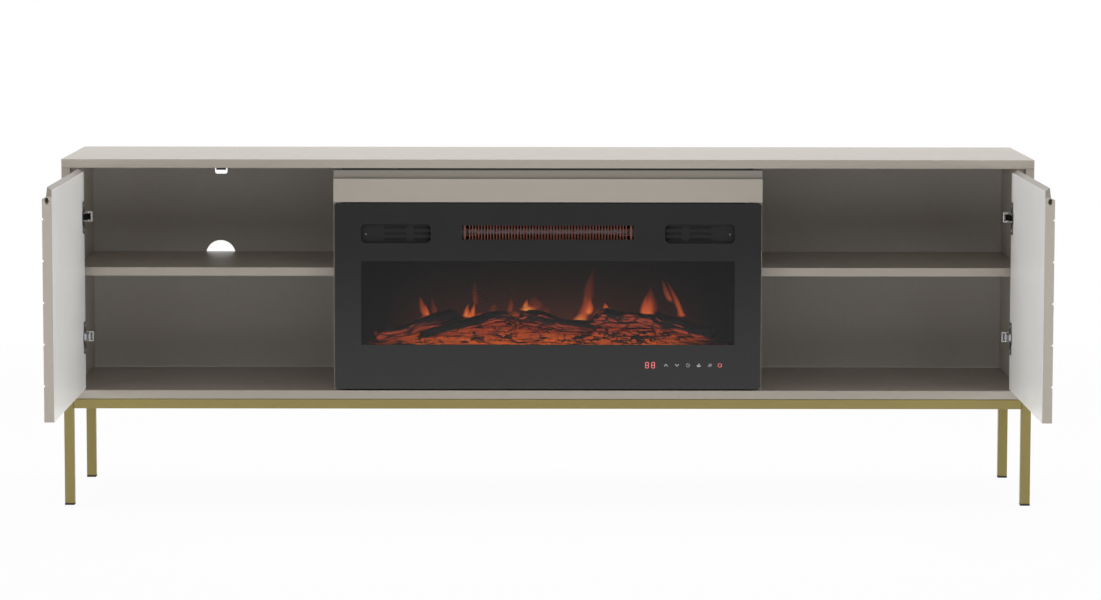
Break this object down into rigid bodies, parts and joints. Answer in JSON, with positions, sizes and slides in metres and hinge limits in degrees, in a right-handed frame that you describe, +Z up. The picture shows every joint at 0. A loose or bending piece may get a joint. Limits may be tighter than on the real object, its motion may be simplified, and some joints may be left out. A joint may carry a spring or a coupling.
{
  "type": "fireplace tv stand",
  "caption": "Low media cabinet on a square-tube base, with open bays behind inset grooved doors either side of a glass-fronted electric fireplace insert.",
  "frame": {"origin": "on the floor, in the middle of the footprint that the object covers with both doors standing open", "axes": "+X to the right as seen from the front, along the cabinet; the front and the open doors face -Y; +Z up"},
  "size_m": [2, 0.9424, 0.718],
  "materials": {
    "lacquer": "satin greige lacquer on fibreboard",
    "back_board": "matt faced hardboard",
    "gold": "satin gold coated steel tube",
    "foot_plastic": "matt moulded",
    "hinge_steel": "nickel plated",
    "dark_steel": "dark powder coat",
    "black_glass": "polished, black printed border",
    "black_sheet": "matt black",
    "smoked_screen": "smoked diffusing sheet",
    "ember_resin": "moulded translucent resin, lit from below",
    "mirror_foil": "bright",
    "rust_wire": "dark red-brown coated wire",
    "quartz": "polished quartz",
    "circuit": "printed circuit board"
  },
  "bodies": {
    "cabinet": {"top_panel": "lacquer", "bottom_panel": "lacquer", "side_panel_left": "lacquer", "side_panel_right": "lacquer", "divider_left": "lacquer", "divider_right": "lacquer", "back_panel_left": "back_board", "back_panel_centre": "back_board", "back_panel_right": "back_board", "shelf_left": "lacquer", "shelf_right": "lacquer", "fascia_panel": "lacquer", "fascia_rail": "lacquer", "wall_bracket": "dark_steel", "leg_front_left": "gold", "leg_front_right": "gold", "leg_rear_left": "gold", "leg_rear_right": "gold", "frame_rail_front": "gold", "frame_rail_rear": "gold", "frame_rail_left": "gold", "frame_rail_right": "gold", "foot_front_left": "foot_plastic", "foot_front_right": "foot_plastic", "foot_rear_left": "foot_plastic", "foot_rear_right": "foot_plastic", "hinge_arm_upper_left": "hinge_steel", "hinge_arm_lower_left": "hinge_steel", "hinge_arm_upper_right": "hinge_steel", "hinge_arm_lower_right": "hinge_steel", "front_glass": "black_glass", "front_frame": "black_sheet", "vent_louvre_left": "black_sheet", "vent_louvre_right": "black_sheet", "fire_case": "dark_steel", "firebox": "black_sheet", "flame_screen": "smoked_screen", "fuel_bed": "ember_resin", "spindle_motor": "hinge_steel", "led_strip": "circuit", "heater_grille": "rust_wire", "heater_duct": "hinge_steel", "heater_reflector": "mirror_foil", "quartz_tube": "quartz", "blower_motor": "hinge_steel", "control_board": "circuit", "cord_gland": "foot_plastic"},
    "left_door": {"door_left": "lacquer", "hinge_cup_upper_left": "hinge_steel", "hinge_cup_lower_left": "hinge_steel"},
    "left_links": {"hinge_link_upper_left": "hinge_steel", "hinge_link_lower_left": "hinge_steel"},
    "right_door": {"door_right": "lacquer", "hinge_cup_upper_right": "hinge_steel", "hinge_cup_lower_right": "hinge_steel"},
    "right_links": {"hinge_link_upper_right": "hinge_steel", "hinge_link_lower_right": "hinge_steel"},
    "spindle": {"flame_spindle": "mirror_foil"},
    "blower": {"blower_wheel": "dark_steel"}
  },
  "joints": [
    {"name": "left_door_hinge", "type": "hinge", "parent": "cabinet", "child": "left_door", "pos_m": [-0.9705, 0.05575, 0.47], "axis": [0, 0, 1], "range_deg": [-5, 90]},
    {"name": "left_link_turn", "type": "hinge", "parent": "left_door", "child": "left_links", "pos_m": [-0.9625, 0.05525, 0.47], "axis": [0, 0, 1], "range_deg": [-118, 8]},
    {"name": "right_door_hinge", "type": "hinge", "parent": "cabinet", "child": "right_door", "pos_m": [0.9705, 0.05575, 0.47], "axis": [0, 0, -1], "range_deg": [-5, 90]},
    {"name": "right_link_turn", "type": "hinge", "parent": "right_door", "child": "right_links", "pos_m": [0.9625, 0.05525, 0.47], "axis": [0, 0, -1], "range_deg": [-118, 8]},
    {"name": "spindle_turn", "type": "hinge", "parent": "cabinet", "child": "spindle", "pos_m": [0, 0.18235, 0.3465], "axis": [1, 0, 0], "continuous": true},
    {"name": "blower_turn", "type": "hinge", "parent": "cabinet", "child": "blower", "pos_m": [0, 0.16215, 0.567], "axis": [1, 0, 0], "continuous": true}
  ],
  "couplings": [
    {"joint": "left_link_turn", "follows": "left_door_hinge", "ratio": -1.294},
    {"joint": "right_link_turn", "follows": "right_door_hinge", "ratio": -1.294}
  ]
}
